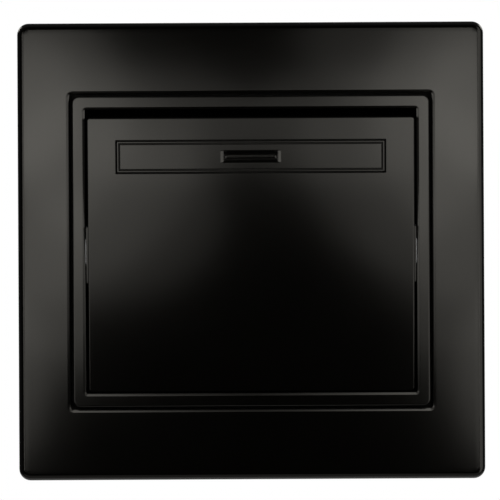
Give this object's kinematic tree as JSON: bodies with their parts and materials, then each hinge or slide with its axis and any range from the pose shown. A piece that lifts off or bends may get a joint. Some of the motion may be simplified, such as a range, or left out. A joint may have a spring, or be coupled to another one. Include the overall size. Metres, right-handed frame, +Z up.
{
  "type": "intermediate light switch",
  "caption": "Flush-mounted intermediate light switch: black frame, bezel and wide rocker key with a label strip over a reversing mechanism with claws.",
  "frame": {"origin": "middle between the wall box screws, on the wall plane", "axes": "+X right, +Z up, +Y into the wall; the switch faces -Y"},
  "size_m": [0.081, 0.0352, 0.0794],
  "materials": {
    "satin_black": "satin black moulded plastic with a very fine grain",
    "smoked_lens": "dark smoked clear plastic, glossy",
    "zinc_steel": "pressed steel with a zinc coat",
    "spring_steel": "bright spring wire",
    "ivory_plastic": "moulded heat-resistant plastic, ivory",
    "grey_plastic": "moulded plastic, dark grey",
    "white_plastic": "slippery white moulded plastic",
    "copper": "rolled copper alloy strip",
    "silver": "silver contact alloy",
    "brass": "machined brass",
    "lamp_glass": "clear glass bulb",
    "tinned_wire": "tinned copper wire"
  },
  "bodies": {
    "switch_body": {"outer_frame": "satin_black", "inner_bezel": "satin_black", "support_plate": "zinc_steel", "mechanism_base": "ivory_plastic", "mechanism_cover": "ivory_plastic", "cover_screws": "zinc_steel", "fixed_contacts_a": "silver", "fixed_contacts_b": "silver", "crossover_link_a": "copper", "crossover_link_b": "copper", "common_strap_left": "copper", "common_strap_right": "copper", "contact_carrier": "grey_plastic", "terminal_block_1": "brass", "terminal_block_2": "brass", "terminal_block_3": "brass", "terminal_block_4": "brass", "terminal_screws": "zinc_steel", "claw_screws": "zinc_steel", "lamp_holder": "white_plastic", "indicator_lamp": "lamp_glass", "lamp_lead_left": "tinned_wire", "lamp_lead_right": "tinned_wire"},
    "rocker": {"rocker_key": "satin_black", "label_strip": "satin_black", "indicator_lens": "smoked_lens", "rocker_cradle": "grey_plastic", "plunger_spring_left": "spring_steel", "plunger_spring_right": "spring_steel"},
    "left_plunger": {"plunger_left": "white_plastic"},
    "right_plunger": {"plunger_right": "white_plastic"},
    "left_bridge": {"contact_bridge_left": "copper", "moving_contacts_left": "silver"},
    "right_bridge": {"contact_bridge_right": "copper", "moving_contacts_right": "silver"},
    "left_claw": {"claw_left": "zinc_steel"},
    "right_claw": {"claw_right": "zinc_steel"},
    "left_claw_nut": {"claw_nut_left": "zinc_steel"},
    "right_claw_nut": {"claw_nut_right": "zinc_steel"}
  },
  "joints": [
    {"name": "rocker_tilt", "type": "hinge", "parent": "switch_body", "child": "rocker", "pos_m": [0, -0.0025, 0], "axis": [-1, 0, 0], "range_deg": [0, 8.4]},
    {"name": "left_plunger_slide", "type": "slide", "parent": "rocker", "child": "left_plunger", "axis": [0, -0.9973, -0.0732], "range_m": [0, 0.0015], "stiffness_N_per_m": 400, "springref_m": -0.003, "deforming": ["plunger_spring_left"]},
    {"name": "left_bridge_rock", "type": "hinge", "parent": "switch_body", "child": "left_bridge", "pos_m": [-0.0075, 0.0108, 0], "axis": [1, 0, 0], "range_deg": [0, 20.17]},
    {"name": "left_claw_swing", "type": "hinge", "parent": "switch_body", "child": "left_claw", "pos_m": [-0.0224, 0.002, 0], "axis": [0, 0, 1], "range_deg": [0, 16.5]},
    {"name": "left_claw_nut_slide", "type": "slide", "parent": "switch_body", "child": "left_claw_nut", "axis": [0, -1, 0], "range_m": [0, 0.0068]},
    {"name": "right_plunger_slide", "type": "slide", "parent": "rocker", "child": "right_plunger", "axis": [0, -0.9973, -0.0732], "range_m": [0, 0.0015], "stiffness_N_per_m": 400, "springref_m": -0.003, "deforming": ["plunger_spring_right"]},
    {"name": "right_bridge_rock", "type": "hinge", "parent": "switch_body", "child": "right_bridge", "pos_m": [0.0075, 0.0108, 0], "axis": [1, 0, 0], "range_deg": [0, 20.17]},
    {"name": "right_claw_swing", "type": "hinge", "parent": "switch_body", "child": "right_claw", "pos_m": [0.0224, 0.002, 0], "axis": [0, 0, -1], "range_deg": [0, 16.5]},
    {"name": "right_claw_nut_slide", "type": "slide", "parent": "switch_body", "child": "right_claw_nut", "axis": [0, -1, 0], "range_m": [0, 0.0068]}
  ],
  "couplings": [
    {"joint": "left_bridge_rock", "follows": "rocker_tilt", "ratio": 2.4},
    {"joint": "left_claw_nut_slide", "follows": "left_claw_swing", "m_per_rad": 0.0236},
    {"joint": "right_bridge_rock", "follows": "rocker_tilt", "ratio": 2.4},
    {"joint": "right_claw_nut_slide", "follows": "right_claw_swing", "m_per_rad": 0.0236}
  ]
}
